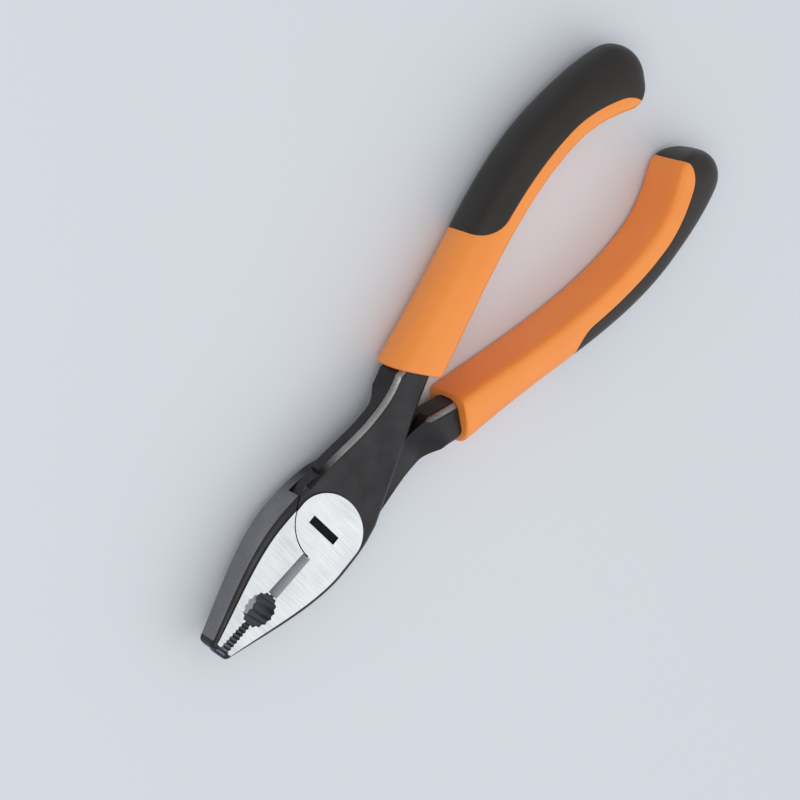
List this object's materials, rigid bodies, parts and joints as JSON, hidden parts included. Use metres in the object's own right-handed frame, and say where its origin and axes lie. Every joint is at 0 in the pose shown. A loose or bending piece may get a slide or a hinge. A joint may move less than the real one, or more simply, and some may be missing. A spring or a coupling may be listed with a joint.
{
  "type": "combination pliers",
  "caption": "Combination pliers with a lap joint, tapered nose, toothed pipe grip, side cutter and curved two-colour handles; the jaws open and close about the rivet.",
  "frame": {"origin": "on the pivot axis, in the ground front face of the joint", "axes": "+Y along the pliers to the jaw tips, +Z out of the ground front face, +X to the side of the front handle"},
  "size_m": [0.0602, 0.1801, 0.0166],
  "materials": {
    "forged_steel": "drop-forged tool steel with a dark oxide skin; the raised head faces are ground bright",
    "rivet_steel": "ground flush, bright",
    "hard_plastic": "moulded polypropylene, orange, semi-gloss",
    "soft_rubber": "moulded thermoplastic elastomer, charcoal, matt"
  },
  "bodies": {
    "front_half": {"front_lever": "forged_steel", "pivot_rivet": "rivet_steel", "front_handle_core": "hard_plastic", "front_soft_grip": "soft_rubber"},
    "rear_half": {"rear_lever": "forged_steel", "rear_handle_core": "hard_plastic", "rear_soft_grip": "soft_rubber"}
  },
  "joints": [
    {"name": "jaw_pivot", "type": "hinge", "parent": "front_half", "child": "rear_half", "pos_m": [0, 0, -0.0055], "axis": [0, 0, -1], "range_deg": [-2.4, 34]}
  ]
}
